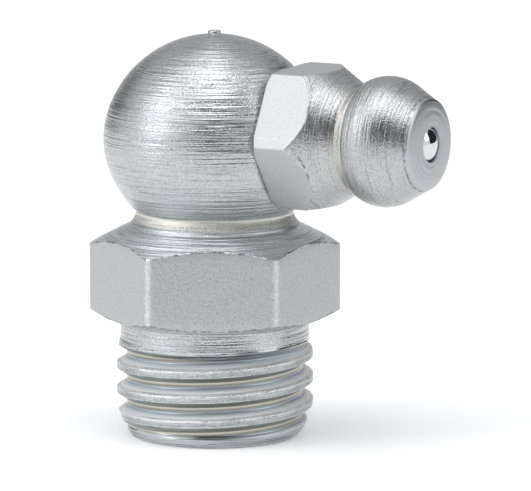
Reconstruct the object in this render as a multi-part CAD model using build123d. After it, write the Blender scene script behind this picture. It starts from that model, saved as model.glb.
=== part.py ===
"""Angled grease nipple with a ball-shaped body, built from its four real pieces.

A zinc-plated steel body carries the M10 shank, the hexagon and the ball. A nipple head is
pressed into the ball's side at a right angle to the shank. Inside the head a small steel
ball closes the mouth, held forward by a compression spring.

Frame: millimetres, +Z up along the thread axis, origin where the thread axis meets the
hexagon's seating face, +X along the nipple head, out of its mouth.
"""
from build123d import *
import math
import os

# --- Threaded shank ---------------------------------------------------------------------
THREAD_DIAMETER = 9.88        # M10 x 1.25, over the crests
SHANK_LENGTH = 6.02           # seating face to the shank's end
SHANK_END_CHAMFER = 0.7       # lead-in at the shank's end, taken off the radius
SHANK_END_CHAMFER_ANGLE = 30.0  # degrees, between the lead-in and the shank's axis
RELIEF_DIAMETER = 9.5         # plain neck between the thread and the seating face
RELIEF_LENGTH = 1.1
RELIEF_CORNER = 0.25          # filled corner where the relief meets the seat

# --- Body hexagon and the cone above it ---------------------------------------------------
HEX_ACROSS_FLATS = 11.0
HEX_HEIGHT = 3.6              # seating face to the cone, at the corners
HEX_CORNER_ROUND = 0.4
SEAT_DIAMETER = 10.9          # flat ring under the hexagon
SEAT_CHAMFER_ANGLE = 19.0     # degrees, rise of the chamfer under the corners
CONE_ANGLE = 27.0             # degrees, rise of the cone towards the neck

# --- Neck and ball ------------------------------------------------------------------------
NECK_DIAMETER = 7.9
NECK_ROUND = 0.9              # radius of the concave round from the cone up into the neck
BALL_DIAMETER = 11.11
BALL_HEIGHT = 10.48           # the ball is slightly flatter than it is wide
BALL_CROWN_ANGLE = 70.0       # degrees from the axis, where the flatter crowns meet the side
BALL_CENTRE_HEIGHT = 8.91     # above the seating face
PIP_DIAMETER = 0.62           # stub left on top where the piece was parted off the bar
PIP_HEIGHT = 0.17

# --- Nipple head, measured along its own axis from where it seats on the ball -------------
HEAD_AXIS_HEIGHT = 9.38       # above the seating face
SPOT_FACE_DEPTH = 1.145       # cut into the ball's side, to give the head a flat seat
STEM_DIAMETER = 5.0
STEM_LENGTH = 3.0
STEM_CHAMFER = 0.3
HEAD_HEX_ACROSS_FLATS = 6.68
HEAD_HEX_TURN = 3.5           # degrees, where the head's hexagon stopped when it was pressed in
HEAD_HEX_CORNER_ROUND = 0.08
HEAD_HEX_REAR_DIAMETER = 7.1  # rear face of the head's hexagon, inside its corner chamfer
HEAD_HEX_REAR_ANGLE = 30.0    # degrees
HEAD_HEX_LENGTH = 1.86        # seat to the front cone, at the corners
HEAD_CONE_ANGLE = 31.0        # degrees, between the front cone and the head's axis
HEAD_NECK_DIAMETER = 5.2
HEAD_NECK_LENGTH = 0.38
HEAD_SHOULDER_DIAMETER = 5.98 # where the collar's steep back meets its crown
HEAD_SHOULDER_RISE = 0.26     # length of that steep back
HEAD_DIAMETER = 6.4           # over the crown, where the coupler's jaws grip
HEAD_CROWN_BACK = 1.1         # shoulder to the crown's widest point
HEAD_CROWN_FRONT = 1.02       # widest point to the front taper
HEAD_TAPER_START_DIAMETER = 5.66
HEAD_TAPER_END_DIAMETER = 4.62
HEAD_TAPER_LENGTH = 0.87
NOSE_LENGTH = 0.3             # rolled lip in front of the taper
NOSE_FACE_DIAMETER = 4.1
NOSE_BULGE = 0.07             # how far the lip's rounded edge swells out

# --- Valve in the nipple head -------------------------------------------------------------
MOUTH_DIAMETER = 1.72
MOUTH_LAND = 0.1              # straight stretch behind the mouth, short, so the ball stands proud
CHECK_BALL_DIAMETER = 2.5
CHECK_BALL_SEAT_GAP = 0.02    # between the closed ball and its seat
CHECK_BALL_SIDE_GAP = 0.15    # between the ball and the chamber wall
SEAT_CONE_ANGLE = 45.0        # degrees, between the ball's conical seat and the axis
CHAMBER_LENGTH = 4.3          # seat cone to the step that carries the spring
HEAD_BORE_DIAMETER = 1.8      # grease way through the stem
SPRING_WIRE_DIAMETER = 0.3
SPRING_OUTSIDE_DIAMETER = 2.3
SPRING_ACTIVE_TURNS = 3
SPRING_STEPS_PER_TURN = 10
SPRING_END_GAP = 0.02         # between the spring's ends and what they press on

# --- Grease ways in the body --------------------------------------------------------------
GREASE_BORE_DIAMETER = 3.0
GREASE_BORE_COUNTERSINK = 0.3
DRILL_POINT_ANGLE = 59.0      # degrees, half the angle of a drill's point
SOCKET_CLEARANCE = 0.01       # all round the head's stem
SOCKET_END_ROOM = 0.3         # beyond the stem's end

# --- Worked out from the sizes above ------------------------------------------------------
thread_radius = THREAD_DIAMETER / 2
relief_radius = RELIEF_DIAMETER / 2
seat_radius = SEAT_DIAMETER / 2
neck_radius = NECK_DIAMETER / 2
ball_radius = BALL_DIAMETER / 2
ball_half_height = BALL_HEIGHT / 2
head_seat_x = ball_radius - SPOT_FACE_DEPTH
overcut = 1.0                 # how far a cutting tool runs past the face that it opens
corner_margin = 0.05          # how far a turned envelope stands clear of a hexagon's corners
UPWARDS = (Align.CENTER, Align.CENTER, Align.MIN)


def slope(angle):
    """Rise per unit of run of a line at this angle in degrees."""
    return math.tan(math.radians(angle))


def rounded_corner_radius(across_flats, corner_round):
    """Distance from a hexagon's centre to the top of its rounded corner."""
    return (across_flats / 2 - corner_round) / math.cos(math.radians(30)) + corner_round


def turned(*outline):
    """Solid turned about Z. Its closed outline is drawn flat, as (radius, height)."""
    return revolve(Plane.XZ * make_face(outline), axis=Axis.Z)


def turned_polygon(*points):
    """Solid turned about Z from straight lines through (radius, height) points."""
    return turned(Polyline(*points, close=True))


def hexagon_bar(across_flats, corner_round, length):
    """Length of hexagon bar up from Z = 0, with rounded corners and two flats across X."""
    bar = extrude(RegularPolygon(across_flats / 2, 6, major_radius=False, rotation=30), length)
    return fillet(bar.edges().filter_by(Axis.Z), corner_round)


# --- Body ---------------------------------------------------------------------------------
hex_corner = rounded_corner_radius(HEX_ACROSS_FLATS, HEX_CORNER_ROUND)
neck_foot_radius = neck_radius + NECK_ROUND * (1 - math.sin(math.radians(CONE_ANGLE)))
neck_foot_z = HEX_HEIGHT + (hex_corner - neck_foot_radius) * slope(CONE_ANGLE)


def shank():
    """Plain shank at the thread's outside diameter, its relief neck and its lead-in."""
    step = thread_radius - relief_radius
    lead_in = SHANK_END_CHAMFER / slope(SHANK_END_CHAMFER_ANGLE)
    return turned_polygon(
        (0, 0),
        (relief_radius + RELIEF_CORNER, 0),
        (relief_radius, -RELIEF_CORNER),
        (relief_radius, -RELIEF_LENGTH),
        (thread_radius, -RELIEF_LENGTH - step),
        (thread_radius, -SHANK_LENGTH + lead_in),
        (thread_radius - SHANK_END_CHAMFER, -SHANK_LENGTH),
        (0, -SHANK_LENGTH),
    )


def hexagon_and_cone():
    """Hexagon bar turned to a cone above and a shallow chamfer below."""
    reach = hex_corner + corner_margin
    envelope = turned_polygon(
        (0, 0),
        (seat_radius, 0),
        (reach, (reach - seat_radius) * slope(SEAT_CHAMFER_ANGLE)),
        (reach, HEX_HEIGHT - corner_margin * slope(CONE_ANGLE)),
        (neck_foot_radius, neck_foot_z),
        (0, neck_foot_z),
    )
    return hexagon_bar(HEX_ACROSS_FLATS, HEX_CORNER_ROUND, neck_foot_z) & envelope


def neck():
    """Column up into the ball, rounded out at its foot to run smoothly into the cone."""
    round_centre_z = neck_foot_z + NECK_ROUND * math.cos(math.radians(CONE_ANGLE))
    foot = (neck_foot_radius, neck_foot_z)
    top = (neck_radius, round_centre_z)
    round_centre = Vector(neck_radius + NECK_ROUND, round_centre_z)
    towards_foot = Vector(*foot) - round_centre
    towards_top = Vector(*top) - round_centre
    middle = round_centre + (towards_foot + towards_top).normalized() * NECK_ROUND
    column_top = max(round_centre_z, BALL_CENTRE_HEIGHT)
    rest = Polyline(top, (neck_radius, column_top), (0, column_top), (0, neck_foot_z), foot)
    return turned(ThreePointArc(foot, middle, top), rest)


def ball():
    """Slightly flattened ball: two spherical crowns joined by a rounder band round its side."""
    angle = math.radians(BALL_CROWN_ANGLE)
    outwards = Vector(math.sin(angle), math.cos(angle))
    flattening = ball_radius - ball_half_height
    crown_radius = ball_radius + flattening * (1 - outwards.X) / (outwards.X + outwards.Y - 1)
    top = Vector(0, ball_half_height)
    upper = top - Vector(0, crown_radius) + outwards * crown_radius
    lower = Vector(upper.X, -upper.Y)
    outline = (
        RadiusArc(top, upper, crown_radius),
        ThreePointArc(upper, (ball_radius, 0), lower),
        RadiusArc(lower, -top, crown_radius),
        Line(-top, top),
    )
    return Pos(0, 0, BALL_CENTRE_HEIGHT) * turned(*outline)


def parting_pip():
    """Stub left standing on the ball's top."""
    length = ball_half_height + PIP_HEIGHT
    return Pos(0, 0, BALL_CENTRE_HEIGHT) * Cylinder(PIP_DIAMETER / 2, length, align=UPWARDS)


def spot_face():
    """Cutter that takes the ball's side down to a flat, square to the head's axis."""
    share = math.sqrt(1 - (head_seat_x / ball_radius) ** 2)
    offset = abs(HEAD_AXIS_HEIGHT - BALL_CENTRE_HEIGHT)
    radius = max(ball_radius, ball_half_height) * share + offset + SOCKET_END_ROOM
    return along_head(Cylinder(radius, SPOT_FACE_DEPTH + overcut, align=UPWARDS))


def along_head(solid):
    """Turn a solid made along Z so that it lies along the head's axis, Z = 0 at the ball's flat."""
    return Location((head_seat_x, 0, HEAD_AXIS_HEIGHT), (0, 90, 0)) * solid


def grease_ways():
    """Drilled way up the shank and the socket across it for the head's stem."""
    bore_radius = GREASE_BORE_DIAMETER / 2
    mouth_radius = bore_radius + GREASE_BORE_COUNTERSINK
    drilled = turned_polygon(
        (0, -SHANK_LENGTH - overcut),
        (mouth_radius, -SHANK_LENGTH - overcut),
        (mouth_radius, -SHANK_LENGTH),
        (bore_radius, -SHANK_LENGTH + GREASE_BORE_COUNTERSINK),
        (bore_radius, HEAD_AXIS_HEIGHT),
        (0, HEAD_AXIS_HEIGHT + bore_radius / slope(DRILL_POINT_ANGLE)),
    )
    depth = STEM_LENGTH + SOCKET_END_ROOM
    socket_radius = STEM_DIAMETER / 2 + SOCKET_CLEARANCE
    socket = Pos(0, 0, -depth) * Cylinder(socket_radius, depth + overcut, align=UPWARDS)
    return drilled + along_head(socket)


def fitting_body():
    """One turned and drilled piece: shank, hexagon, neck and ball."""
    turned_form = shank() + hexagon_and_cone() + neck() + ball() + parting_pip()
    return turned_form - spot_face() - grease_ways()


# --- Nipple head --------------------------------------------------------------------------
head_corner = rounded_corner_radius(HEAD_HEX_ACROSS_FLATS, HEAD_HEX_CORNER_ROUND)
head_neck_radius = HEAD_NECK_DIAMETER / 2
shoulder_radius = HEAD_SHOULDER_DIAMETER / 2
crown_radius = HEAD_DIAMETER / 2
taper_start_radius = HEAD_TAPER_START_DIAMETER / 2
taper_end_radius = HEAD_TAPER_END_DIAMETER / 2
nose_face_radius = NOSE_FACE_DIAMETER / 2
head_neck_start = HEAD_HEX_LENGTH + (head_corner - head_neck_radius) / slope(HEAD_CONE_ANGLE)
head_neck_end = head_neck_start + HEAD_NECK_LENGTH
shoulder_at = head_neck_end + HEAD_SHOULDER_RISE
crown_at = shoulder_at + HEAD_CROWN_BACK
taper_start = crown_at + HEAD_CROWN_FRONT
taper_end = taper_start + HEAD_TAPER_LENGTH
mouth_at = taper_end + NOSE_LENGTH


def head_hexagon():
    """Small hexagon, chamfered behind and turned to a long cone in front."""
    rear_radius = HEAD_HEX_REAR_DIAMETER / 2
    reach = head_corner + corner_margin
    envelope = turned_polygon(
        (0, 0),
        (rear_radius, 0),
        (reach, (reach - rear_radius) * slope(HEAD_HEX_REAR_ANGLE)),
        (reach, HEAD_HEX_LENGTH - corner_margin / slope(HEAD_CONE_ANGLE)),
        (head_neck_radius, head_neck_start),
        (0, head_neck_start),
    )
    bar = hexagon_bar(HEAD_HEX_ACROSS_FLATS, HEAD_HEX_CORNER_ROUND, head_neck_start)
    return Rot(0, 0, HEAD_HEX_TURN) * (bar & envelope)


def stem():
    """Plain stem that is pressed into the ball, chamfered at its end."""
    radius = STEM_DIAMETER / 2
    return turned_polygon(
        (0, 0),
        (radius, 0),
        (radius, -STEM_LENGTH + STEM_CHAMFER),
        (radius - STEM_CHAMFER, -STEM_LENGTH),
        (0, -STEM_LENGTH),
    )


def head_crown_and_nose():
    """Neck, collar and rolled nose: the part that a grease coupler snaps on to."""
    shoulder = (shoulder_radius, shoulder_at)
    taper_top = (taper_start_radius, taper_start)
    nose_foot = (taper_end_radius, taper_end)
    nose_edge = (nose_face_radius, mouth_at)
    back = Polyline(
        nose_edge, (0, mouth_at), (0, head_neck_start), (head_neck_radius, head_neck_start),
        (head_neck_radius, head_neck_end), shoulder,
    )
    crown = ThreePointArc(shoulder, (crown_radius, crown_at), taper_top)
    taper = Line(taper_top, nose_foot)
    swell = Vector(NOSE_LENGTH, taper_end_radius - nose_face_radius).normalized() * NOSE_BULGE
    middle = (Vector(*nose_foot) + Vector(*nose_edge)) / 2 + swell
    return turned(back, crown, taper, ThreePointArc(nose_foot, middle, nose_edge))


check_ball_radius = CHECK_BALL_DIAMETER / 2
mouth_radius = MOUTH_DIAMETER / 2
chamber_radius = check_ball_radius + CHECK_BALL_SIDE_GAP
seat_cone_front = mouth_at - MOUTH_LAND
seat_cone_back = seat_cone_front - (chamber_radius - mouth_radius) / slope(SEAT_CONE_ANGLE)
spring_step = seat_cone_back - CHAMBER_LENGTH
seat_cone_tip = seat_cone_front + mouth_radius / slope(SEAT_CONE_ANGLE)
check_ball_at = seat_cone_tip - (
    (check_ball_radius + CHECK_BALL_SEAT_GAP) / math.sin(math.radians(SEAT_CONE_ANGLE))
)


def valve_chamber():
    """Stepped way through the head: stem bore, spring step, chamber, ball seat and mouth."""
    bore_radius = HEAD_BORE_DIAMETER / 2
    return turned_polygon(
        (0, -STEM_LENGTH - overcut),
        (bore_radius, -STEM_LENGTH - overcut),
        (bore_radius, spring_step),
        (chamber_radius, spring_step),
        (chamber_radius, seat_cone_back),
        (mouth_radius, seat_cone_front),
        (mouth_radius, mouth_at + overcut),
        (0, mouth_at + overcut),
    )


def nipple_head():
    """One turned piece: stem, hexagon, neck, collar and nose, bored right through."""
    return along_head(stem() + head_hexagon() + head_crown_and_nose() - valve_chamber())


# --- Valve --------------------------------------------------------------------------------
def check_ball():
    """Hardened steel ball that closes the mouth from inside."""
    return along_head(Pos(0, 0, check_ball_at) * Sphere(check_ball_radius))


def valve_spring():
    """Compression spring from the step to the ball, closed at each end.

    Its coils are drawn as short straight lengths of wire, to keep the hidden piece light.
    """
    wire_radius = SPRING_WIRE_DIAMETER / 2
    coil_radius = SPRING_OUTSIDE_DIAMETER / 2 - wire_radius
    low = spring_step + wire_radius + SPRING_END_GAP
    centres = check_ball_radius + wire_radius + SPRING_END_GAP
    inside = coil_radius * math.cos(math.pi / SPRING_STEPS_PER_TURN)
    high = check_ball_at - math.sqrt(centres ** 2 - inside ** 2)
    closed_pitch = SPRING_WIRE_DIAMETER + SPRING_END_GAP
    turns = SPRING_ACTIVE_TURNS + 2
    open_pitch = (high - low - 2 * closed_pitch) / SPRING_ACTIVE_TURNS
    height = low
    centre_line = []
    for step in range(turns * SPRING_STEPS_PER_TURN + 1):
        turn = step / SPRING_STEPS_PER_TURN
        angle = 2 * math.pi * turn
        centre_line.append((coil_radius * math.cos(angle), coil_radius * math.sin(angle), height))
        pitch = open_pitch if 1 <= turn < turns - 1 else closed_pitch
        height += pitch / SPRING_STEPS_PER_TURN
    path = Polyline(*centre_line)
    wire = Plane(origin=path @ 0, z_dir=path % 0) * Circle(wire_radius)
    return along_head(sweep(wire, path=path, transition=Transition.RIGHT))


PIECES = {
    "fitting_body": fitting_body,
    "nipple_head": nipple_head,
    "check_ball": check_ball,
    "valve_spring": valve_spring,
}

os.makedirs("parts", exist_ok=True)
for name, make in PIECES.items():
    export_step(make(), f"parts/{name}.step")
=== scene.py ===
# %% [markdown]
# # An angled grease nipple
# A grease nipple is the small fitting that a grease gun snaps on to. This one has four real
# pieces: a turned steel body with a ball, a hexagon and a threaded shank; a smaller turned head
# that is pressed into the side of the ball; a hardened check ball; and the spring that holds it
# shut. The body and the head are zinc plated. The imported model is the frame: every piece below
# is built in its place and at its size, and takes the place of the plain solid there.

# %% Load the frame
import math
import bmesh
import bpy
import numpy as np
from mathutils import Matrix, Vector


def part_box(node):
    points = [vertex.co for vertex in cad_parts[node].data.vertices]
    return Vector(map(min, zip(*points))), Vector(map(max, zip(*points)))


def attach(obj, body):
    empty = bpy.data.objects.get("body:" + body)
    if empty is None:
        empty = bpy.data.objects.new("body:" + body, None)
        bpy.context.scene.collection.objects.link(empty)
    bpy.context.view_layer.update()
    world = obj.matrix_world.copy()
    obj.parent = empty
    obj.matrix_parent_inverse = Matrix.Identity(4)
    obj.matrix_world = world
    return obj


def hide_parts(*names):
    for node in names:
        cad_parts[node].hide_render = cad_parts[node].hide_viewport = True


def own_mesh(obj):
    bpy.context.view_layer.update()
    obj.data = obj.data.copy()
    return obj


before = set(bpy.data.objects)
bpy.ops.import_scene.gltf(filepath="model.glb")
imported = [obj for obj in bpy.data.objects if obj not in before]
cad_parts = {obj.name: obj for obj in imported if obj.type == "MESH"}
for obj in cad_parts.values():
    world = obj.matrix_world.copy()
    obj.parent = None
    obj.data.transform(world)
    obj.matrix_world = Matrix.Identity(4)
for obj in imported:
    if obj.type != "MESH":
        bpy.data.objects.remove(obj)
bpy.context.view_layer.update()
MM = 0.001

# %% [markdown]
# ## Sections
# A lathe makes a shape by turning one section round an axis, and a grid of points can do the
# same: each row is a ring, and each column is one section. Blender's Screw modifier turns a
# section too, but it makes every column alike, and a hexagon has a different radius at each
# angle. So the rings are computed here, all columns at once. A real edge is never quite sharp,
# and the small round on it catches the light, so each corner of a section may have one.

# %% A corner with a small round on it
arc_steps = 4


def eased_corner(before, here, after, corner_round):
    """Rows of points round a corner, at most nearly half way to the corners beside it."""
    back, ahead = before - here, after - here
    back_length = np.linalg.norm(back, axis=-1, keepdims=True)
    ahead_length = np.linalg.norm(ahead, axis=-1, keepdims=True)
    back = back / back_length
    ahead = ahead / ahead_length
    cosine = np.clip(np.sum(back * ahead, axis=-1, keepdims=True), -1, 1)
    reach = corner_round / np.tan(np.arccos(cosine) / 2)
    reach = np.minimum(reach, 0.45 * np.minimum(back_length, ahead_length))
    first, last = here + back * reach, here + ahead * reach
    shares = np.linspace(0, 1, arc_steps + 1)
    return [(1 - t) ** 2 * first + 2 * t * (1 - t) * here + t ** 2 * last for t in shares]


corner = eased_corner(np.array([0.0, 0.0]), np.array([1.0, 0.0]), np.array([1.0, 1.0]), 0.1)
print("a round of 0.1 mm starts", round(1 - corner[0][0], 3), "mm before its corner")

# %% A section with eased corners
def eased_section(corners, columns):
    """Rows of (radius, height) from corners of (radius, height, round, cuts to the next one)."""
    points = []
    for radius, height, _, _ in corners:
        spread = [np.broadcast_to(radius, columns), np.broadcast_to(height, columns)]
        points.append(np.stack(spread, axis=-1))
    arcs = []
    for index, (_, _, corner_round, _) in enumerate(corners):
        if corner_round == 0 or index in (0, len(corners) - 1):
            arcs.append([points[index]])
        else:
            arcs.append(eased_corner(*points[index - 1:index + 2], corner_round))
    rows = []
    for index, (_, _, _, cuts) in enumerate(corners):
        rows.extend(arcs[index])
        if index + 1 < len(corners):
            start, end = arcs[index][-1], arcs[index + 1][0]
            rows.extend(start + (end - start) * cut / cuts for cut in range(1, cuts))
    return np.array(rows)


trial = eased_section([(0, 0, 0, 1), (1, 0, 0.1, 1), (1, 1, 0, 1)], 1)
print("one eased corner:", trial[:, 0].round(3).tolist())

# %% Corners along an arc
def arc_points(centre_radius, centre_height, radius, first, last, pieces):
    """Section corners along an arc; its angles are in degrees from the axis."""
    found = []
    for angle in np.radians(np.linspace(first, last, pieces + 1)):
        across = centre_radius + radius * math.sin(angle)
        found.append((across, centre_height + radius * math.cos(angle), 0, 1))
    return found


print("a quarter of a 5 mm ball:", len(arc_points(0, 0, 5, 0, 90, 12)), "points")

# %% [markdown]
# ## Hexagons
# Both hexagons begin as drawn hexagonal bar, which comes with slightly rounded corners. A corner
# is narrow as seen from the axis, so the columns stand close together there and wide apart on
# the flats. That puts the faces where the shape turns.

# %% The corner of a hexagonal bar
hexagon_flats, hexagon_round = 11.0, 0.4


def rounded_corner(across_flats, corner_round):
    """How far the corner's round has its centre from the axis, and half its width in degrees."""
    straight = math.cos(math.radians(30))
    centre = (across_flats / 2 - corner_round) / straight
    return centre, math.degrees(math.atan2(corner_round / 2, centre + corner_round * straight))


corner_width = 2 * rounded_corner(hexagon_flats, hexagon_round)[1]
print("a corner of the body's hexagon is", round(corner_width, 2), "degrees wide")

# %% The side of a hexagonal bar
def hexagon_radius(angle, across_flats, corner_round, flat_at=0.0):
    """Distance from the axis to the side of the bar, at angles in degrees."""
    corner_centre, half_width = rounded_corner(across_flats, corner_round)
    from_corner = np.abs(np.mod(angle - flat_at, 60) - 30)
    turned = np.radians(from_corner)
    inside = np.maximum(corner_round ** 2 - (corner_centre * np.sin(turned)) ** 2, 0)
    on_corner = corner_centre * np.cos(turned) + np.sqrt(inside)
    on_flat = across_flats / 2 / np.cos(np.radians(30) - turned)
    return np.where(from_corner < half_width, on_corner, on_flat)


def hexagon_columns(across_flats, corner_round, flat_at, flat_pieces, corner_pieces):
    """Column angles in degrees, from a corner at the back once round to it again."""
    _, half_width = rounded_corner(across_flats, corner_round)
    sector = np.concatenate([
        np.linspace(0, half_width, corner_pieces + 1)[:-1],
        np.linspace(half_width, 60 - half_width, flat_pieces + 1)[:-1],
        np.linspace(60 - half_width, 60, corner_pieces + 1)[:-1],
    ])
    back_corner = flat_at + 150
    turns = [back_corner + 60 * side + sector for side in range(6)]
    return np.append(np.concatenate(turns), back_corner + 360)


hexagon_corner = hexagon_radius(np.array([30.0]), hexagon_flats, hexagon_round)[0]
print("body hexagon:", hexagon_flats, "mm across flats,", round(2 * hexagon_corner, 2), "over corners")

# %% [markdown]
# ## From grids to meshes
# Neighbouring rings are joined into four-sided faces, and points that meet are merged, so that
# each piece is one closed skin like the real one. A grid may be open along one line, because a
# thread climbs by one pitch each turn.

# %% A new object
def add_object(name, data):
    """Puts a mesh, a lamp or a camera into the scene as an object."""
    thing = bpy.data.objects.new(name, data)
    bpy.context.scene.collection.objects.link(thing)
    return thing


print("pieces go into", bpy.context.scene.collection.name)

# %% A piece from grids of points
merge_gap = 0.002


def make_piece(name, grids, finishes):
    """One mesh from grids of (points in mm, finish number of each face)."""
    points, faces, numbers, first = [], [], [], 0
    for grid, finish in grids:
        rows, columns = grid.shape[:2]
        corner = np.arange(rows - 1)[:, None] * columns + np.arange(columns - 1)[None, :] + first
        square = np.stack([corner, corner + 1, corner + columns + 1, corner + columns], axis=-1)
        points.append(grid.reshape(-1, 3))
        faces.append(square.reshape(-1, 4))
        numbers.append(np.broadcast_to(finish, (rows - 1, columns - 1)).reshape(-1))
        first += rows * columns
    mesh = bpy.data.meshes.new(name)
    mesh.from_pydata((np.concatenate(points) * MM).tolist(), [], np.concatenate(faces).tolist())
    for finish in finishes:
        mesh.materials.append(finish)
    mesh.polygons.foreach_set("material_index", np.concatenate(numbers).astype(np.int32))
    work = bmesh.new()
    work.from_mesh(mesh)
    bmesh.ops.remove_doubles(work, verts=work.verts, dist=merge_gap * MM)
    bmesh.ops.recalc_face_normals(work, faces=work.faces)
    work.to_mesh(mesh)
    work.free()
    mesh.shade_smooth()
    print(name, len(mesh.vertices), "points", len(mesh.polygons), "faces")
    return add_object(name, mesh)


print("points closer than", merge_gap, "mm become one")

# %% [markdown]
# ## Where the tool passed
# On a lathe the tool stays still while the work turns, so its marks run round the piece and
# follow each other along the section. A material can draw such marks only if it knows where the
# tool passed. So each point stores the direction round the axis, as a cosine and a sine, and
# the length travelled along the section in millimetres. Those numbers stay on the piece however
# it is moved, while a texture placed by the world would slide through it.

# %% Store the tool path on a piece
def store_vectors(mesh, name, vectors):
    """Keeps three numbers a point on the mesh, for a material to read."""
    store = mesh.attributes.new(name, "FLOAT_VECTOR", "POINT")
    store.data.foreach_set("vector", np.asarray(vectors, np.float32).reshape(-1))


def mark_tool_path(piece, section, origin, axis, side):
    """Stores the tool path; gives each point's angle in degrees, radius and height in mm."""
    places = np.zeros(len(piece.data.vertices) * 3)
    piece.data.vertices.foreach_get("co", places)
    places = places.reshape(-1, 3) / MM - np.array(origin)
    axis, side = np.array(axis, float), np.array(side, float)
    height = places @ axis
    across, along = places @ side, places @ np.cross(axis, side)
    radius = np.hypot(across, along)
    here = np.stack([radius, height], axis=-1)
    steps = np.diff(section, axis=0)
    lengths = np.linalg.norm(steps, axis=1)
    travelled = np.concatenate([[0], np.cumsum(lengths)])[:-1]
    best, path = np.full(len(places), 1e9), np.zeros(len(places))
    for start, step, length, before in zip(section[:-1], steps, lengths, travelled):
        share = np.clip(((here - start) @ step) / max(length ** 2, 1e-12), 0, 1)
        gap = np.linalg.norm(here - start - share[:, None] * step, axis=1)
        nearer = gap < best
        best[nearer] = gap[nearer]
        path[nearer] = before + share[nearer] * length
    safe = np.maximum(radius, 1e-6)
    store_vectors(piece.data, "tool_path", np.stack([across / safe, along / safe, path], axis=-1))
    print(piece.name, "tool path of", round(float(path.max()), 1), "mm")
    return np.degrees(np.arctan2(along, across)), radius, height


print("tool_path holds a cosine, a sine and the millimetres along the section")

# %% [markdown]
# ## Colours and nodes
# A colour is written as the hex value that a screen shows, and one function turns it to the
# linear light that Blender mixes. One function adds any node. Both keep the finishes short.

# %% Colours in linear light
def linear(hex_colour):
    """An sRGB hex colour as linear RGBA."""
    values = [int(hex_colour[place:place + 2], 16) / 255 for place in (1, 3, 5)]
    return [v / 12.92 if v <= 0.04045 else ((v + 0.055) / 1.055) ** 2.4 for v in values] + [1.0]


print("mid grey in linear light:", [round(value, 3) for value in linear("#808080")])

# %% Nodes and a bare metal
def add_node(tree, kind, settings=None, links=None, output=0):
    """Adds a node, sets its sockets or options, links sockets to it and gives one output."""
    node = tree.nodes.new(kind)
    for key, value in (settings or {}).items():
        if isinstance(value, str) and value.startswith("#"):
            value = linear(value)
        if isinstance(key, int) or key in node.inputs.keys():
            node.inputs[key].default_value = value
        else:
            setattr(node, key, value)
    for key, socket in (links or {}).items():
        tree.links.new(socket, node.inputs[key])
    return node.outputs[output] if node.outputs else node


def new_metal(name, settings):
    """A metal with nothing on it yet. The index of refraction stays at its default."""
    material = bpy.data.materials.new(name)
    material.use_nodes = True
    tree = material.node_tree
    tree.nodes.clear()
    surface = add_node(tree, "ShaderNodeBsdfPrincipled", {"Metallic": 1.0, **settings}).node
    add_node(tree, "ShaderNodeOutputMaterial", links={"Surface": surface.outputs["BSDF"]})
    return material, tree, surface


print("materials so far:", len(bpy.data.materials))

# %% [markdown]
# ## Tool marks as heights
# Seen close, a turned surface is fine grooves, seven or so to a millimetre here, and each one
# runs only part of the way round before handling or the next cut breaks it. Noise that is drawn
# out round the piece gives just that. A Bump node reads heights as slopes. Several heights are
# added up first and bent once, because a chain of Bump nodes loses the fine ones. All heights
# are in millimetres. They are a few times those of a real turned surface, so that they show.

# %% Tool marks and raised surfaces
def tool_marks(tree, path, turn_radius, length, per_mm, shift):
    """Marks of this length in mm round the piece, so many to a mm across them."""
    around = turn_radius / length
    place = {"Location": (shift, 2 * shift, 3 * shift), "Scale": (around, around, per_mm)}
    spread = add_node(tree, "ShaderNodeMapping", place, {"Vector": path})
    look = {"Scale": 1.0, "Detail": 1.5, "Roughness": 0.65}
    return add_node(tree, "ShaderNodeTexNoise", look, {"Vector": spread})


def raise_surface(tree, surface, heights):
    """Adds up pairs of (socket, height in mm) and bends the light by the slope of the sum."""
    total = None
    for socket, height in heights:
        links = {0: socket} if total is None else {0: socket, 2: total}
        total = add_node(tree, "ShaderNodeMath", {"operation": "MULTIPLY_ADD", 1: height, 2: 0.0}, links)
    bump = add_node(tree, "ShaderNodeBump", {"Strength": 1.0, "Distance": MM}, {"Height": total})
    tree.links.new(bump, surface.inputs["Normal"])


print("a mark of 9 mm goes", round(math.degrees(9 / 5.5)), "degrees round the ball")

# %% [markdown]
# ## Ragged lines along edges
# Some marks follow an edge: dark nicks where the tool tore it, a pale strip along a corner that
# is partly a painted highlight of the corner's round and partly wear from rubbing in the plating
# barrel, and a dark seam where rolled metal ends. None of them is a clean line.
# Each piece stores how far a point is from such an edge, and noise pulls the side of the line
# in and out, so that it comes and goes.

# %% A ragged line along an edge
corner_edge, flat_end, nose_seam = 0, 1, 2


def ragged_line(tree, edge, noise, pull, shift, reach, strength):
    """A line's share: its full strength up to the nearer reach in mm, and none from the other.

    Noise and the shift change the distance from the edge: by pull x noise + shift, in mm.
    """
    gaps = add_node(tree, "ShaderNodeAttribute", {"attribute_name": "edge_gaps"}, output="Vector")
    gap = add_node(tree, "ShaderNodeSeparateXYZ", links={0: gaps}, output=edge)
    settings = {"operation": "MULTIPLY_ADD", 1: pull, 2: shift}
    moved = add_node(tree, "ShaderNodeMath", settings, {0: noise})
    total = add_node(tree, "ShaderNodeMath", {"operation": "ADD"}, {0: gap, 1: moved})
    limits = {"From Min": reach[0], "From Max": reach[1], "To Min": strength, "To Max": 0.0}
    return add_node(tree, "ShaderNodeMapRange", limits, {"Value": total})


print("ragged lines at the corners, at the ends of the flats and at the seam of the nose")

# %% [markdown]
# ## Nicked edges
# Where a turned cone runs out over a flat of the hexagon, the tool tears the edge a little and
# the plating leaves the torn spots dark. The noise is coarse with fine detail in it, and only
# its upper half brings a nick out.

# %% Dark nicks along the ends of the flats
nick_pull, nick_shift, nick_fade = -0.55, 0.28, 0.05


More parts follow.
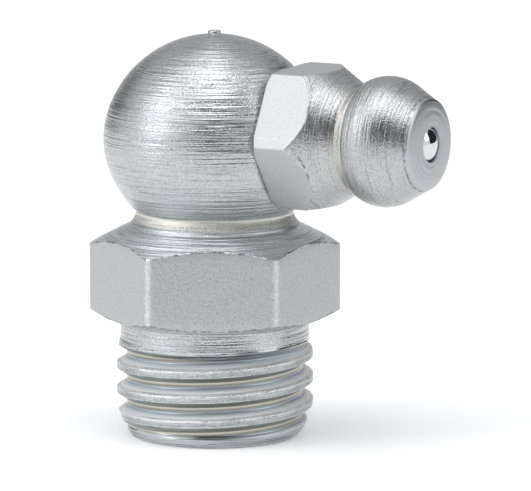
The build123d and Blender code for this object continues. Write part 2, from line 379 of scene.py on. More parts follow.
def nicked_edges(tree, place, colour):
    """The colour, with small dark nicks where a flat of the hexagon ends."""
    look = {"Scale": 2.6 / MM, "Detail": 5.0, "Roughness": 0.8}
    noise = add_node(tree, "ShaderNodeTexNoise", look, {"Vector": place})
    nick = ragged_line(tree, flat_end, noise, nick_pull, nick_shift, (0.0, nick_fade), strength=0.8)
    mix = {"data_type": "RGBA", 7: "#62686C"}
    return add_node(tree, "ShaderNodeMix", mix, {0: nick, 6: colour}, output=2)


print("noise of 0.7 makes a nick of", round(nick_fade - nick_shift - 0.7 * nick_pull, 3), "mm")

# %% [markdown]
# ## Zinc plate on turned steel
# Free-cutting steel is turned and then zinc plated in a barrel with many others. Zinc is a pale,
# slightly blue metal that reflects about two thirds of the light. The plate is only about a
# hundredth of a millimetre thick, so the turning shows through it: long grooves, short torn
# scratches and the slow waves of the feed. The barrel adds fine specks. Rough in one
# direction and smooth in the other, a turned surface draws a highlight out across its grooves,
# which is what the anisotropic setting does. It needs a direction, and a radial tangent
# gives the one round the axis, so the rotation of a quarter turns it across the grooves.

# %% The colours of turned plate
specks_per_mm = 12.0


def turned_colour(tree, shades, dull_share, grooves, scratches, specks):
    """Specks in two shades, then dull streaks by the grooves and dark scratches in the specks."""
    speckle = add_node(tree, "ShaderNodeMapRange", {"From Min": 0.36, "From Max": 0.64}, {"Value": specks})
    mix = {"data_type": "RGBA", 6: shades[1], 7: shades[0]}
    colour = add_node(tree, "ShaderNodeMix", mix, {0: speckle}, output=2)
    limits = {"From Min": 0.5, "From Max": 0.64, "To Max": dull_share}
    dull = add_node(tree, "ShaderNodeMapRange", limits, {"Value": grooves})
    torn = add_node(tree, "ShaderNodeMapRange", {"From Min": 0.56, "From Max": 0.66}, {"Value": scratches})
    limits = {"From Min": 0.35, "From Max": 0.6, "To Min": 0.15, "To Max": 0.6}
    broken = add_node(tree, "ShaderNodeMapRange", limits, {"Value": specks})
    scratched = add_node(tree, "ShaderNodeMath", {"operation": "MULTIPLY"}, {0: torn, 1: broken})
    for share, shade in ((dull, "#6C7378"), (scratched, "#7C8388")):
        mix = {"data_type": "RGBA", 7: shade}
        colour = add_node(tree, "ShaderNodeMix", mix, {0: share, 6: colour}, output=2)
    return colour


print("specks of plate about", round(1 / specks_per_mm, 2), "mm across")

# %% A finish for turned and plated steel
def turned_finish(
    name, shades, roughness, streak, radius, axis, grooves, scratches, waves, speck_height, dull_share,
):
    """Zinc on turned steel. The three marks are each (height mm, length mm, number to a mm)."""
    settings = {"Anisotropic": streak, "Anisotropic Rotation": 0.25}
    material, tree, surface = new_metal(name, settings)
    path = add_node(tree, "ShaderNodeAttribute", {"attribute_name": "tool_path"}, output="Vector")
    place = add_node(tree, "ShaderNodeTexCoord", output="Object")
    long_marks, short_marks, slow_waves = [
        tool_marks(tree, path, radius, length, per_mm, shift)
        for (_, length, per_mm), shift in ((grooves, 0.3), (scratches, 3.1), (waves, 5.3))
    ]
    look = {"Scale": specks_per_mm / MM, "Detail": 1.0, "Roughness": 0.6}
    specks = add_node(tree, "ShaderNodeTexNoise", look, {"Vector": place})
    raise_surface(tree, surface, [
        (long_marks, grooves[0]), (short_marks, scratches[0]), (slow_waves, waves[0]),
        (specks, speck_height),
    ])
    # the waves are a little duller on their crests
    limits = {"From Min": 0.35, "From Max": 0.65, "To Min": roughness - 0.05, "To Max": roughness + 0.05}
    rough = add_node(tree, "ShaderNodeMapRange", limits, {"Value": slow_waves})
    tree.links.new(rough, surface.inputs["Roughness"])
    colour = turned_colour(tree, shades, dull_share, long_marks, short_marks, specks)
    tree.links.new(nicked_edges(tree, place, colour), surface.inputs["Base Color"])
    round_axis = add_node(tree, "ShaderNodeTangent", {"direction_type": "RADIAL", "axis": axis})
    tree.links.new(round_axis, surface.inputs["Tangent"])
    print(name, "with", len(tree.nodes), "nodes")
    return material


# %% The turned parts of the body
# The ball: long even grooves, fairly bright, with a clear highlight.
turned_zinc = turned_finish(
    "zinc_plate_on_turned_ball", ("#B3B7B9", "#C7CBCC"), roughness=0.235, streak=0.35,
    radius=5.5, axis="Z", grooves=(0.06, 9.0, 7.0), scratches=(0.03, 3.0, 12.0),
    waves=(0.05, 14.0, 2.2), speck_height=0.022, dull_share=0.0,
)
# The neck: plating fluid stays in the hollow and leaves the zinc slightly yellow and duller. Its
# shades are also painted paler than the ball's, painted light that lifts the hollow under the ball.
neck_zinc = turned_finish(
    "yellowed_zinc_with_painted_light_in_the_neck", ("#DAD9D2", "#EDEBE4"), roughness=0.48, streak=0.3,
    radius=4.2, axis="Z", grooves=(0.05, 9.0, 5.0), scratches=(0.03, 3.0, 9.0),
    waves=(0.05, 14.0, 2.2), speck_height=0.03, dull_share=0.35,
)
# The cone: its shades are painted paler than the ball's, painted light that lifts the cone where the
# ball above shades it; rougher, with deep slow waves that break the light into arcs.
cone_zinc = turned_finish(
    "zinc_plate_with_painted_light_on_turned_cone", ("#D0D5D8", "#ECEFF1"), roughness=0.36, streak=0.6,
    radius=5.3, axis="Z", grooves=(0.14, 9.0, 6.0), scratches=(0.05, 3.0, 12.0),
    waves=(0.34, 14.0, 2.5), speck_height=0.03, dull_share=0.2,
)

# %% The turned parts of the head
# The head: a smaller turned piece with shorter marks, turned about the X axis.
head_zinc = turned_finish(
    "zinc_plate_on_turned_head", ("#AEB0B1", "#C5C7C7"), roughness=0.3, streak=0.3,
    radius=3.0, axis="X", grooves=(0.04, 7.0, 8.0), scratches=(0.03, 2.0, 13.0),
    waves=(0.03, 10.0, 2.5), speck_height=0.022, dull_share=0.0,
)
# The groove behind the crown: a small hollow, yellowed as the neck is.
groove_zinc = turned_finish(
    "yellowed_zinc_plate_in_the_groove", ("#B3B2AF", "#C7C5C1"), roughness=0.34, streak=0.3,
    radius=2.6, axis="X", grooves=(0.04, 7.0, 7.0), scratches=(0.03, 2.0, 10.0),
    waves=(0.03, 10.0, 2.5), speck_height=0.022, dull_share=0.1,
)

# %% [markdown]
# ## Zinc plate on drawn bar
# The flats are the skin of the drawn bar. No tool cut them, so there are no grooves: only a dull,
# even grain from drawing and pickling, which plating makes a little mottled. A pale flecked strip
# is painted along each corner: partly a painted highlight where the corner's round catches the
# light, partly wear where the corners rub against other pieces in the barrel.

# %% A finish for the flats
# number to a mm and detail of: specks, mottling, the ragged side of the strip and its flecks
flat_grains = ((13.0, 1.5), (6.0, 2.0), (6.0, 2.1), (9.0, 2.0))


def drawn_finish(name, colour, corner_highlight_and_wear_colour, roughness, speck_height, mottle, corner_highlight_and_wear_reach):
    """Zinc on drawn bar: its mottling, and the reach in mm of a corner strip of painted highlight and wear.
    """
    material, tree, surface = new_metal(name, {"Roughness": roughness})
    place = add_node(tree, "ShaderNodeTexCoord", output="Object")
    specks, mottling, ragged, flecks = [
        add_node(
            tree, "ShaderNodeTexNoise", {"Scale": per_mm / MM, "Detail": detail, "Roughness": 0.6},
            {"Vector": place},
        )
        for per_mm, detail in flat_grains
    ]
    raise_surface(tree, surface, [(specks, speck_height), (mottling, speck_height * 0.8)])
    limits = {"From Min": 0.42, "From Max": 0.6, "To Max": mottle}
    pale = add_node(tree, "ShaderNodeMapRange", limits, {"Value": mottling})
    mix = {"data_type": "RGBA", 6: colour, 7: "#C4C6C3"}
    shade = add_node(tree, "ShaderNodeMix", mix, {0: pale}, output=2)
    limits = {"From Min": 0.54, "From Max": 0.68, "To Max": mottle}
    dark = add_node(tree, "ShaderNodeMapRange", limits, {"Value": specks})
    # the pale strip of painted highlight and wear: near a corner, with a ragged side, broken by flecks
    reach = (corner_highlight_and_wear_reach - 0.06, corner_highlight_and_wear_reach + 0.06)
    near = ragged_line(tree, corner_edge, ragged, pull=0.6, shift=-0.3, reach=reach, strength=0.9)
    limits = {"From Min": 0.42, "From Max": 0.56, "To Min": 1.0, "To Max": 0.25}
    flecked = add_node(tree, "ShaderNodeMapRange", limits, {"Value": flecks})
    worn = add_node(tree, "ShaderNodeMath", {"operation": "MULTIPLY"}, {0: near, 1: flecked})
    for share, layer in ((dark, "#8D9294"), (worn, corner_highlight_and_wear_colour)):
        mix = {"data_type": "RGBA", 7: layer}
        shade = add_node(tree, "ShaderNodeMix", mix, {0: share, 6: shade}, output=2)
    tree.links.new(nicked_edges(tree, place, shade), surface.inputs["Base Color"])
    print(name, "with", len(tree.nodes), "nodes")
    return material


print("specks and mottling", [round(1 / per_mm, 2) for per_mm, _ in flat_grains[:2]], "mm across")

# %% The two hexagons
# The large one is satin. Its corners carry the pale strip of painted highlight and wear, about 0.2 mm
# to each side.
drawn_zinc = drawn_finish(
    "zinc_plate_on_drawn_hexagon", "#BDC1C2", "#DADCDD", roughness=0.42,
    speck_height=0.013, mottle=0.55, corner_highlight_and_wear_reach=0.17,
)
# The small one is finer bar, a shade paler and duller, with hardly any painted highlight or wear at
# its corners: the reach is below zero.
head_drawn_zinc = drawn_finish(
    "zinc_plate_on_head_hexagon", "#C8C9CB", "#DADDDF", roughness=0.5,
    speck_height=0.006, mottle=0.3, corner_highlight_and_wear_reach=-0.03,
)

# %% [markdown]
# ## Zinc plate on a cut thread
# A thread is one groove that climbs round the shank, so a picture placed in height alone would
# slip off it. Each point stores where it lies across the groove instead: as a sine and a cosine,
# because the count starts again at each crest and a plain share would jump there. The angle
# of the two is the place across the thread, and a colour ramp reads it. The ramp paints light
# and shade into the colour. The flank that faces up is smooth and pale blue, painted near white
# by the crest as painted light, and darker towards the root as painted shade. The root is thin
# and slightly yellow, with painted shade in it and a painted reflection as a pale line; the
# flank below the crest has painted shade, and a painted highlight lines the crest's lower edge.
# The crest has lost its skin to wear and to other parts in the barrel, so it is rough, with dark
# specks that follow the helix.

# %% Tints, painted light and painted shade across the thread
# 0 and 1 are the middle of the root, 0.5 the middle of the crest; the upper flank is above 0.6
# painted shade in the root, on the lower flank and on the upper flank near the root; a painted reflection as
# the pale line at 0.08, a painted highlight at 0.37, painted light from 0.62 to 0.84; the blue and the yellow
# tints are the plate's own
thread_tints_and_painted_light = (
    (0.0, "#84857F"), (0.04, "#A3A196"), (0.08, "#C6C3B6"), (0.12, "#BEBBB0"), (0.17, "#A0A29F"),
    (0.33, "#A8ABAC"), (0.37, "#F0F2F3"), (0.41, "#C0C4C6"), (0.57, "#D0D3D4"), (0.62, "#FFFFFF"),
    (0.74, "#FAFDFF"), (0.84, "#E6F0F7"), (0.92, "#9AA4AA"), (1.0, "#84857F"),
)


def paint_thread_tints_and_light(tree, sine, cosine):
    """A colour by the place across the thread: the plate's tints with painted light and shade."""
    angle = add_node(tree, "ShaderNodeMath", {"operation": "ARCTAN2"}, {0: sine, 1: cosine})
    limits = {"From Min": -math.pi, "From Max": math.pi}
    share = add_node(tree, "ShaderNodeMapRange", limits, {"Value": angle})
    shades = add_node(tree, "ShaderNodeValToRGB", links={0: share})
    stops = shades.node.color_ramp.elements
    for index, (position, shade) in enumerate(thread_tints_and_painted_light):
        stop = stops[index] if index < 2 else stops.new(position)
        stop.position = position
        stop.color = linear(shade)
    return shades


print(len(thread_tints_and_painted_light), "shades across one pitch")

# %% Streaks that follow the helix
pitch, thread_radius = 1.25, 4.94
streaks_around, streaks_across = 5.0, 1.9


def helix_streaks(tree, path, sine, cosine):
    """Noise that runs along the thread: four numbers place it, so it has no seam."""
    turn = add_node(tree, "ShaderNodeSeparateXYZ", links={0: path})
    round_x, round_y = turn, turn.node.outputs[1]
    place = add_node(tree, "ShaderNodeCombineXYZ", links={0: round_x, 1: round_y, 2: sine})
    scale = (streaks_around, streaks_around, streaks_across)
    place = add_node(tree, "ShaderNodeMapping", {"Scale": scale}, {"Vector": place})
    fourth = add_node(tree, "ShaderNodeMath", {"operation": "MULTIPLY", 1: streaks_across}, {0: cosine})
    look = {"noise_dimensions": "4D", "Scale": 1.0, "Detail": 3.0, "Roughness": 0.7}
    return add_node(tree, "ShaderNodeTexNoise", look, {"Vector": place, "W": fourth})


streak_length = thread_radius / streaks_around
streak_width = pitch / (2 * math.pi * streaks_across)
print("streaks about", round(streak_length, 2), "mm long and", round(streak_width, 2), "mm wide")

# %% Where the shank is plain
relief_side, chamfer_side = (-1.6, -1.3), (-5.55, -5.35)


def plain_share(tree, place):
    """1 where the thread has run out, beside the relief and on the end chamfer, and 0 between."""
    height = add_node(tree, "ShaderNodeSeparateXYZ", links={0: place}, output=2)
    limits = {"From Min": relief_side[0] * MM, "From Max": relief_side[1] * MM}
    by_relief = add_node(tree, "ShaderNodeMapRange", limits, {"Value": height})
    limits = {"From Min": chamfer_side[0] * MM, "From Max": chamfer_side[1] * MM}
    limits.update({"To Min": 1.0, "To Max": 0.0})
    by_end = add_node(tree, "ShaderNodeMapRange", limits, {"Value": height})
    return add_node(tree, "ShaderNodeMath", {"operation": "MAXIMUM"}, {0: by_relief, 1: by_end})


print("the thread has its own colours from", chamfer_side[1], "to", relief_side[0], "mm")

# %% Where the thread is worn
crest_wear, root_wear = 0.6, 0.04


def worn_share(tree, streaks, specks, depth):
    """Dark wear that follows the helix and is broken by specks, mostly on the crest."""
    torn = add_node(tree, "ShaderNodeMapRange", {"From Min": 0.4, "From Max": 0.6}, {"Value": streaks})
    limits = {"From Min": 0.38, "From Max": 0.62, "To Min": 0.1, "To Max": 1.0}
    broken = add_node(tree, "ShaderNodeMapRange", limits, {"Value": specks})
    limits = {"From Min": 0.1, "From Max": 0.4, "To Min": crest_wear, "To Max": root_wear}
    deep = add_node(tree, "ShaderNodeMapRange", limits, {"Value": depth})
    worn = add_node(tree, "ShaderNodeMath", {"operation": "MULTIPLY"}, {0: torn, 1: broken})
    return add_node(tree, "ShaderNodeMath", {"operation": "MULTIPLY"}, {0: worn, 1: deep})


print("the crest is worn", round(crest_wear / root_wear), "times as much as the root")

# %% The colours of the thread
scored_lines_per_mm = 7.0


def thread_colour(tree, shades, worn, lines, plain):
    """The thread's tints, painted light and shade and wear; plain turned zinc scored at both ends."""
    mix = {"data_type": "RGBA", 7: "#6F7679"}
    threaded = add_node(tree, "ShaderNodeMix", mix, {0: worn, 6: shades}, output=2)
    limits = {"From Min": 0.5, "From Max": 0.62, "To Max": 0.7}
    scored = add_node(tree, "ShaderNodeMapRange", limits, {"Value": lines})
    mix = {"data_type": "RGBA", 6: "#C2C7CA", 7: "#70777B"}
    turned = add_node(tree, "ShaderNodeMix", mix, {0: scored}, output=2)
    links = {0: plain, 6: threaded, 7: turned}
    return add_node(tree, "ShaderNodeMix", {"data_type": "RGBA"}, links, output=2)


print("a scored line every", round(1 / scored_lines_per_mm, 2), "mm at the plain ends")

# %% A finish for the cut thread
def thread_finish(name, flank_roughness, crest_roughness):
    """Zinc on a cut thread, with plain turned zinc at the relief and at the end chamfer."""
    material, tree, surface = new_metal(name, {})
    place = add_node(tree, "ShaderNodeTexCoord", output="Object")
    path = add_node(tree, "ShaderNodeAttribute", {"attribute_name": "tool_path"}, output="Vector")
    form = add_node(tree, "ShaderNodeAttribute", {"attribute_name": "thread_form"}, output="Vector")
    depth = add_node(tree, "ShaderNodeSeparateXYZ", links={0: form})
    sine, cosine = depth.node.outputs[1], depth.node.outputs[2]
    streaks = helix_streaks(tree, path, sine, cosine)
    look = {"Scale": 11.0 / MM, "Detail": 1.5, "Roughness": 0.6}
    specks = add_node(tree, "ShaderNodeTexNoise", look, {"Vector": place})
    lines = tool_marks(tree, path, turn_radius=4.9, length=5.0, per_mm=scored_lines_per_mm, shift=1.4)
    plain = plain_share(tree, place)
    worn = worn_share(tree, streaks, specks, depth)
    colour = thread_colour(tree, paint_thread_tints_and_light(tree, sine, cosine), worn, lines, plain)
    tree.links.new(colour, surface.inputs["Base Color"])
    # the crest is rough, and the flanks are nearly smooth
    limits = {"From Min": 0.05, "From Max": 0.35, "To Min": 1.0, "To Max": 0.08}
    amount = add_node(tree, "ShaderNodeMapRange", limits, {"Value": depth})
    heights = []
    for marks, share, height in ((streaks, amount, 0.1), (specks, amount, 0.05), (lines, plain, 0.09)):
        shown = add_node(tree, "ShaderNodeMath", {"operation": "MULTIPLY"}, {0: marks, 1: share})
        heights.append((shown, height))
    raise_surface(tree, surface, heights)
    # the flank that faces up is satin, the rest shinier, and the plain turned ends the shiniest
    limits = {"From Min": 0.6, "From Max": 0.85, "To Min": crest_roughness, "To Max": flank_roughness}
    satin = add_node(tree, "ShaderNodeMapRange", limits, {"Value": sine})
    shine = add_node(tree, "ShaderNodeMath", {"operation": "MULTIPLY_ADD", 1: -0.2}, {0: plain, 2: satin})
    tree.links.new(shine, surface.inputs["Roughness"])
    print(name, "with", len(tree.nodes), "nodes")
    return material


thread_zinc = thread_finish("zinc_plate_on_cut_thread", flank_roughness=0.68, crest_roughness=0.3)

# %% [markdown]
# ## Zinc plate on the rolled nose
# When the ball and the spring are in, the nose of the head is rolled over to hold them. Rolling
# presses the surface flat, so it is smoother than turned steel, with faint rings, and where the
# pressed metal ends a dark ragged seam runs round.

# %% A finish for the rolled nose
def rolled_finish(name, colour, roughness):
    """Pressed zinc-plated steel with a seam where the rolling ends."""
    material, tree, surface = new_metal(name, {"Roughness": roughness})
    place = add_node(tree, "ShaderNodeTexCoord", output="Object")
    path = add_node(tree, "ShaderNodeAttribute", {"attribute_name": "tool_path"}, output="Vector")
    specks, ragged = [
        add_node(
            tree, "ShaderNodeTexNoise", {"Scale": per_mm / MM, "Detail": detail, "Roughness": 0.6},
            {"Vector": place},
        )
        for per_mm, detail in ((12.0, 1.5), (4.0, 3.0))
    ]
    rings = tool_marks(tree, path, turn_radius=1.6, length=5.0, per_mm=6.5, shift=2.2)
    raise_surface(tree, surface, [(specks, 0.006), (rings, 0.028)])
    limits = {"From Min": 0.58, "From Max": 0.7, "To Max": 0.4}
    dark = add_node(tree, "ShaderNodeMapRange", limits, {"Value": specks})
    mix = {"data_type": "RGBA", 6: colour, 7: "#9AA1A6"}
    shade = add_node(tree, "ShaderNodeMix", mix, {0: dark}, output=2)
    reach = (0.0, 0.07)
    seam = ragged_line(tree, nose_seam, ragged, pull=-0.8, shift=0.37, reach=reach, strength=0.6)
    mix = {"data_type": "RGBA", 7: "#5F656A"}
    shade = add_node(tree, "ShaderNodeMix", mix, {0: seam, 6: shade}, output=2)
    tree.links.new(shade, surface.inputs["Base Color"])
    print(name, "with", len(tree.nodes), "nodes")
    return material


rolled_zinc = rolled_finish("zinc_plate_on_rolled_nose", "#B8BCBF", roughness=0.38)

# %% [markdown]
# ## Hardened ball and drawn wire
# The check ball is hardened chrome steel, ground and lapped as bearing balls are, so it mirrors
# the room with only a breath of haze. The spring is hard drawn wire: darker, with the soft shine
# that the drawing die leaves. Neither is plated.

# %% Finishes for the ball and the spring
def bare_steel(name, colour, roughness, haze_per_mm):
    """Unplated steel whose shine varies slightly."""
    material, tree, surface = new_metal(name, {"Base Color": linear(colour)})
    place = add_node(tree, "ShaderNodeTexCoord", output="Object")
    look = {"Scale": haze_per_mm / MM, "Detail": 2.0, "Roughness": 0.6}
    haze = add_node(tree, "ShaderNodeTexNoise", look, {"Vector": place})
    limits = {"From Min": 0.3, "From Max": 0.7, "To Min": roughness * 0.8, "To Max": roughness * 1.3}
    shine = add_node(tree, "ShaderNodeMapRange", limits, {"Value": haze})
    tree.links.new(shine, surface.inputs["Roughness"])
    print(name, "with roughness about", roughness)
    return material


lapped_steel = bare_steel("lapped_chrome_steel", "#D6D8DA", roughness=0.03, haze_per_mm=1.5)
wire_steel = bare_steel("hard_drawn_spring_wire", "#8E9092", roughness=0.3, haze_per_mm=3.0)

# %% [markdown]
# ## The body above the thread
# One turned section makes the ball, the neck and the cone, and one hexagon cuts across it. The
# ball isn't a true sphere: the side is a narrow band of a smaller radius, set off from the axis,
# and the crown and the underside are flatter. The small stub on top is where the part was cut
# off the bar. The cone and the seat below the hexagon slope down from a circle, so on the
# hexagon they end in the arched edges that every turned nut has.

# %% Sizes of the ball, the neck and the hexagon
stub_radius, stub_top, stub_foot = 0.31, 14.32, 14.141
crown_radius, upper_centre, lower_centre = 5.622, 8.528, 9.292
band_radius, band_set_off, band_centre = 4.504, 1.05, 8.91
upper_meeting, lower_meeting = 70, 110      # degrees from the axis, where crowns and band meet
neck_radius, neck_set_off, neck_centre = 0.9, 4.85, 5.343
hexagon_top, hexagon_seat = 3.6, 5.45       # height of the corners' top, radius of the flat seat
cone_slope, seat_slope = math.tan(math.radians(27)), math.tan(math.radians(19))
relief_radius, relief_end = 4.75, -1.1
crowns = upper_centre - lower_centre + 2 * crown_radius
print("ball", round(2 * (band_set_off + band_radius), 2), "mm wide,", round(crowns, 2), "mm high")

# %% Section of the ball, the neck and the hexagon
body_columns = hexagon_columns(hexagon_flats, hexagon_round, 0.0, 38, 4)
body_angle = np.radians(body_columns)
# a hair inside the solid, so that the looks are never the larger
hexagon_side = hexagon_radius(body_columns, hexagon_flats, hexagon_round) - 0.001
cut_off_stub = [
    (0.0, stub_top, 0, 2), (stub_radius, stub_top, 0.06, 1), (stub_radius, stub_foot, 0.05, 1),
]
upper_crown = arc_points(0, upper_centre, crown_radius, 4.2, upper_meeting, 56)
side_band = arc_points(band_set_off, band_centre, band_radius, upper_meeting, lower_meeting, 28)
lower_crown = arc_points(0, lower_centre, crown_radius, lower_meeting, 135.2, 20)
neck_hollow = [
    (neck_set_off - neck_radius * math.cos(angle), neck_centre - neck_radius * math.sin(angle), 0, 1)
    for angle in np.radians(np.linspace(5, 63, 12))
]
neck_end = (neck_hollow[-1][0], neck_hollow[-1][1], 0, 18)
cone_edge = (hexagon_side, hexagon_top + (hexagon_corner - hexagon_side) * cone_slope, 0.07, 10)
seat_edge = (hexagon_side, (hexagon_side - hexagon_seat) * seat_slope, 0.06, 2)
relief = [
    (hexagon_seat, 0.0, 0.03, 2), (5.0, 0.0, 0.04, 1), (relief_radius, -0.25, 0.08, 5),
    (relief_radius, relief_end, 0, 1),
]
upper_corners = cut_off_stub + upper_crown + side_band[1:] + lower_crown[1:] + neck_hollow[:-1]
upper_corners = upper_corners + [neck_end, cone_edge, seat_edge] + relief
upper_rows = eased_section(upper_corners, len(body_columns))
print("rings above the thread:", len(upper_rows), "of", len(body_columns), "points")

# %% Turn the section and choose a finish for each ring
def around_body(rows):
    """Rows of (radius, height) turned about the body's axis."""
    radius, height = rows[..., 0], rows[..., 1]
    return np.stack([radius * np.cos(body_angle), radius * np.sin(body_angle), height], axis=-1)


ring_height = (upper_rows[:-1, :, 1].max(axis=1) + upper_rows[1:, :, 1].min(axis=1)) / 2
on_flats = np.abs(upper_rows[:-1, :, 0] - hexagon_side).max(axis=1) < 1e-6
cone_foot, neck_foot, neck_top = 3.3, 4.8, 5.3
in_neck = (ring_height > neck_foot) & (ring_height < neck_top)
on_cone = (ring_height > cone_foot) & (ring_height < neck_foot) & ~on_flats
upper_finish = np.where(on_flats, 1, np.where(in_neck, 3, np.where(on_cone, 4, 0)))[:, None]
print("rings on the flats, in the neck, on the cone:", on_flats.sum(), in_neck.sum(), on_cone.sum())

# %% [markdown]
# ## The thread
# The thread is ten millimetres across by name, a little less over its crests, with a pitch of
# 1.25 mm. A worn tool cut it, so its crests are flat and its roots are round. The rings of the
# grid climb with it, one pitch a turn, so that rows lie along the crests and the edges are crisp
# with few faces. The groove fades into the relief above and runs out on the chamfer below.

# %% The form of the groove
thread_depth = 0.51
crest_half, flank_width = 0.13, 0.25        # shares of a pitch
shank_end, end_radius = -6.02, 4.24
crest_height_in_front, front_angle = -3.445, 300.86


def groove(share):
    """Depth of the thread form, 0 on the crest and 1 at the root, by share of a pitch."""
    fine = np.linspace(-0.5, 0.5, 401)
    form = np.clip((np.abs(fine) - crest_half) / flank_width, 0, 1)
    # a worn tool rounds the form: each point becomes the mean of the eleven round it
    ease = np.ones(11) / 11
    form = np.convolve(np.concatenate([form[:-1], form[:-1], form]), ease, mode="same")[400:801]
    return np.interp(np.mod(share + 0.5, 1.0) - 0.5, fine, form)


def crest_height(angle):
    """Height of the crest that passes the front, at angles in degrees."""
    return crest_height_in_front + pitch * (angle - front_angle) / 360


print("depth by share of a pitch:", [round(float(groove(s)), 2) for s in (0, 0.1, 0.2, 0.3, 0.4, 0.5)])

# %% The threaded shank
run_out_length, run_out_curve = 0.5, 0.7
# the plain shank that the thread is cut into: relief above, then its full width, chamfer below
blank_depths = [1.1, 1.29, 1.9, 4.45, 5.05, 5.55, 6.02]
blank_radii = [relief_radius, 4.83, thread_radius, thread_radius, 4.76, 4.56, end_radius]


def shank_radius(angle, height):
    """Radius of the threaded shank at angles in degrees and heights in mm."""
    depth = groove((height - crest_height(angle)) / pitch)
    fade = np.clip((relief_end - height) / run_out_length, 0, 1)
    cut = thread_radius - thread_depth * depth * fade ** run_out_curve
    return np.minimum(cut, np.interp(-height, blank_depths, blank_radii))


print("root of the thread", round(float(shank_radius(front_angle, crest_height(front_angle) + pitch / 2)), 3))

# %% Rings that climb with the thread
row_shares = np.array([
    0.0, 0.06, 0.1, 0.12, 0.135, 0.15, 0.18, 0.22, 0.26, 0.3, 0.34, 0.365, 0.38, 0.4, 0.44,
    0.5, 0.56, 0.6, 0.62, 0.635, 0.66, 0.7, 0.74, 0.78, 0.82, 0.85, 0.865, 0.88, 0.9, 0.94,
])
row_starts = np.concatenate([(turn + row_shares) * pitch for turn in range(-6, 5)])[::-1]
lift = crest_height(body_columns)
thread_height = np.clip(row_starts[:, None] + lift[None, :], shank_end, relief_end)
kept = (thread_height.max(axis=1) > shank_end) & (thread_height.min(axis=1) < relief_end)
first_row, last_row = np.flatnonzero(kept)[0] - 1, np.flatnonzero(kept)[-1] + 1
thread_height = thread_height[first_row:last_row + 1]
row_angle = np.broadcast_to(body_columns, thread_height.shape)
thread_rows = np.stack([shank_radius(row_angle, thread_height), thread_height], axis=-1)
print("rings along the thread:", len(thread_rows))

# %% The end face and the grease way
way_radius, head_height = 1.5, 9.38
end_corners = [
    (end_radius, shank_end, 0, 4), (1.8, shank_end, 0.02, 1), (way_radius, -5.72, 0.02, 12),
    (way_radius, head_height, 0, 2), (0.0, 10.28, 0, 1),
]
end_rows = eased_section(end_corners, len(body_columns))
body = make_piece(
    "zinc_plated_body",
    [(around_body(upper_rows), upper_finish), (around_body(thread_rows), 2), (around_body(end_rows), 0)],
    [turned_zinc, drawn_zinc, thread_zinc, neck_zinc, cone_zinc],
)

# %% [markdown]
# ## The spot face and the socket
# The ball is milled flat on one side and bored there for the head. The mill and the drill are
# round cutters across the body's rings, and rows and columns can't follow them, so here a
# Boolean modifier cuts as the real tools do. Its result is kept as the new mesh.

# %% Round cutters about the head's axis
seat_plane = 4.41
round_columns = np.linspace(0, 360, 97)


def around_head(rows, columns):
    """Rows of (radius, distance from the seat) turned about the head's axis."""
    angle = np.radians(columns)
    radius, distance = rows[..., 0], rows[..., 1]
    across, up = -radius * np.sin(angle), head_height + radius * np.cos(angle)
    return np.stack([seat_plane + distance, across, up], axis=-1)


cutters = []
# radius, then from and to which distance from the seat
for name, reach, start, stop in (("mill", 4.4, 3, 0), ("drill", 2.51, 1, -3.3)):
    corners = [(0, start, 0, 1), (reach, start, 0, 1), (reach, stop, 0, 1), (0, stop, 0, 1)]
    rows = eased_section(corners, len(round_columns))
    cutters.append(make_piece(name, [(around_head(rows, round_columns), 0)], [turned_zinc]))

# %% Cut the body
for cutter in cutters:
    cut = body.modifiers.new(cutter.name, "BOOLEAN")
    cut.operation = "DIFFERENCE"
    cut.solver = "EXACT"
    cut.object = cutter
bpy.context.view_layer.update()
graph = bpy.context.evaluated_depsgraph_get()
whole_mesh = body.data
cut_mesh = bpy.data.meshes.new_from_object(body.evaluated_get(graph))
body.modifiers.clear()
body.data = cut_mesh
bpy.data.meshes.remove(whole_mesh)
for cutter in cutters:
    bpy.data.objects.remove(cutter)
print("body after cutting:", len(body.data.polygons), "faces")

# %% What the body's finishes need to know
def gaps_to_edges(angle, radius, height, side, top, bottom):
    """Distances in mm to a hexagon's nearest corner and to the nearest end of its flats."""
    corner_gap = np.radians(np.abs(np.mod(angle, 60) - 30)) * radius
    top_gap = np.hypot(radius - side, height - top)
    bottom_gap = np.hypot(radius - side, height - bottom)
    return corner_gap, np.minimum(top_gap, bottom_gap)


# the section up the middle of a flat, with a straight line for the thread
middle = len(body_columns) // 12
shank_line = [[thread_radius, -1.29], [thread_radius, -4.81]]
body_section = np.concatenate([upper_rows[:, middle], shank_line, end_rows[:, middle]])
angle, radius, height = mark_tool_path(body, body_section, (0, 0, 0), (0, 0, 1), (1, 0, 0))
side = hexagon_radius(angle, hexagon_flats, hexagon_round)
top = hexagon_top + (hexagon_corner - side) * cone_slope
bottom = (side - hexagon_seat) * seat_slope
corner_gap, end_gap = gaps_to_edges(angle, radius, height, side, top, bottom)
store_vectors(body.data, "edge_gaps", np.stack([corner_gap, end_gap, 0 * end_gap], axis=-1))
thread_turn = 2 * np.pi * (height - crest_height(angle)) / pitch
form = [groove(thread_turn / 2 / np.pi), np.sin(thread_turn), np.cos(thread_turn)]
store_vectors(body.data, "thread_form", np.stack(form, axis=-1))
print("points near the ends of the flats:", int((end_gap < 0.1).sum()))

# %% [markdown]
# ## The head
# The head is turned from a smaller hexagonal bar: a stem that is pressed into the socket, the
# hexagon, a cone, a narrow neck for the jaws of the grease gun, a barrel-shaped crown, and the
# rolled nose. Inside are the mouth, the seat cone that the ball closes, the chamber, and the
# step that the spring stands on. The crown is one arc through three points.

